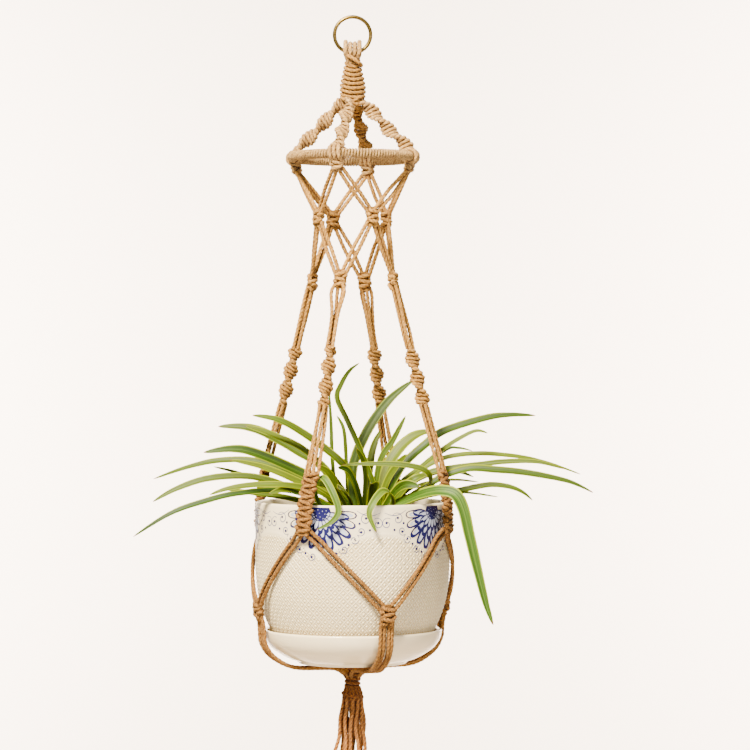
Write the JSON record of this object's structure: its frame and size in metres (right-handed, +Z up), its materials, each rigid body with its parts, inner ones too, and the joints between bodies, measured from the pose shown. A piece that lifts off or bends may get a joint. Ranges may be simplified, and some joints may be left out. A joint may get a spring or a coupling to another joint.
{
  "type": "hanging planter",
  "caption": "Knotted jute cord hanger with a wrapped hoop, holding a glazed lattice pot on its saucer, with a trailing striped leafy plant and a cord tassel below.",
  "frame": {"origin": "the inner top of the metal ring, where a hook bears", "axes": "+Z up along the hanger, the metal ring lies in the XZ plane, -Y is the front"},
  "size_m": [0.4543, 0.2098, 0.8559],
  "materials": {
    "ring_metal": "satin",
    "jute": "rough twisted fibre",
    "hoop_wire": "matte",
    "hoop_jute": "rough twisted fibre",
    "pot_glaze": "gloss",
    "saucer_glaze": "gloss",
    "earth": "matte crumbs",
    "leaf": "satin"
  },
  "bodies": {
    "ring": {"hanging_ring": "ring_metal"},
    "hanger": {"ring_loops": "jute", "crown_sennit": "jute", "top_twist_a": "jute", "top_twist_b": "jute", "top_twist_c": "jute", "top_twist_d": "jute", "hoop_core": "hoop_wire", "hoop_wrap": "hoop_jute", "hoop_hitch_a": "jute", "hoop_hitch_b": "jute", "hoop_hitch_c": "jute", "hoop_hitch_d": "jute", "upper_net_cords": "jute", "first_row_knots": "jute", "lower_net_cords": "jute", "second_row_knots": "jute", "arm_cords": "jute", "arm_twist_a": "jute", "arm_twist_b": "jute", "arm_twist_c": "jute", "arm_twist_d": "jute", "lower_arm_cords": "jute", "rim_sennit_a": "jute", "rim_sennit_b": "jute", "rim_sennit_c": "jute", "rim_sennit_d": "jute", "cradle_cords": "jute", "cradle_knot_a": "jute", "cradle_knot_b": "jute", "cradle_knot_c": "jute", "cradle_knot_d": "jute", "base_cords": "jute", "gather_wrap": "jute", "gather_collar": "jute", "tassel_strand_01": "jute", "tassel_strand_02": "jute", "tassel_strand_03": "jute", "tassel_strand_04": "jute", "tassel_strand_05": "jute", "tassel_strand_06": "jute", "tassel_strand_07": "jute", "tassel_strand_08": "jute", "tassel_strand_09": "jute", "tassel_strand_10": "jute", "tassel_strand_11": "jute", "tassel_strand_12": "jute", "tassel_strand_13": "jute", "tassel_strand_14": "jute", "tassel_strand_15": "jute", "tassel_strand_16": "jute"},
    "saucer": {"saucer": "saucer_glaze"},
    "pot": {"pot": "pot_glaze"},
    "plant": {"root_ball": "earth", "leaves_left": "leaf", "leaves_right": "leaf", "leaves_upright": "leaf", "leaves_front": "leaf", "leaves_short": "leaf"}
  },
  "joints": [
    {"name": "swing", "type": "hinge", "parent": "ring", "child": "hanger", "pos_m": [0, 0, -0.0343], "axis": [1, 0, 0], "range_deg": [-50, 50]},
    {"name": "saucer_turn", "type": "hinge", "parent": "hanger", "child": "saucer", "pos_m": [0, 0, -0.62], "axis": [0, 0, 1], "continuous": true, "deforming": ["leaves_left", "leaves_right", "leaves_upright", "leaves_front", "leaves_short"]},
    {"name": "pot_lift", "type": "slide", "parent": "saucer", "child": "pot", "axis": [0, 0, 1], "range_m": [0, 0.01]},
    {"name": "plant_lift", "type": "slide", "parent": "pot", "child": "plant", "axis": [0, 0, 1], "range_m": [0, 0.045]}
  ]
}
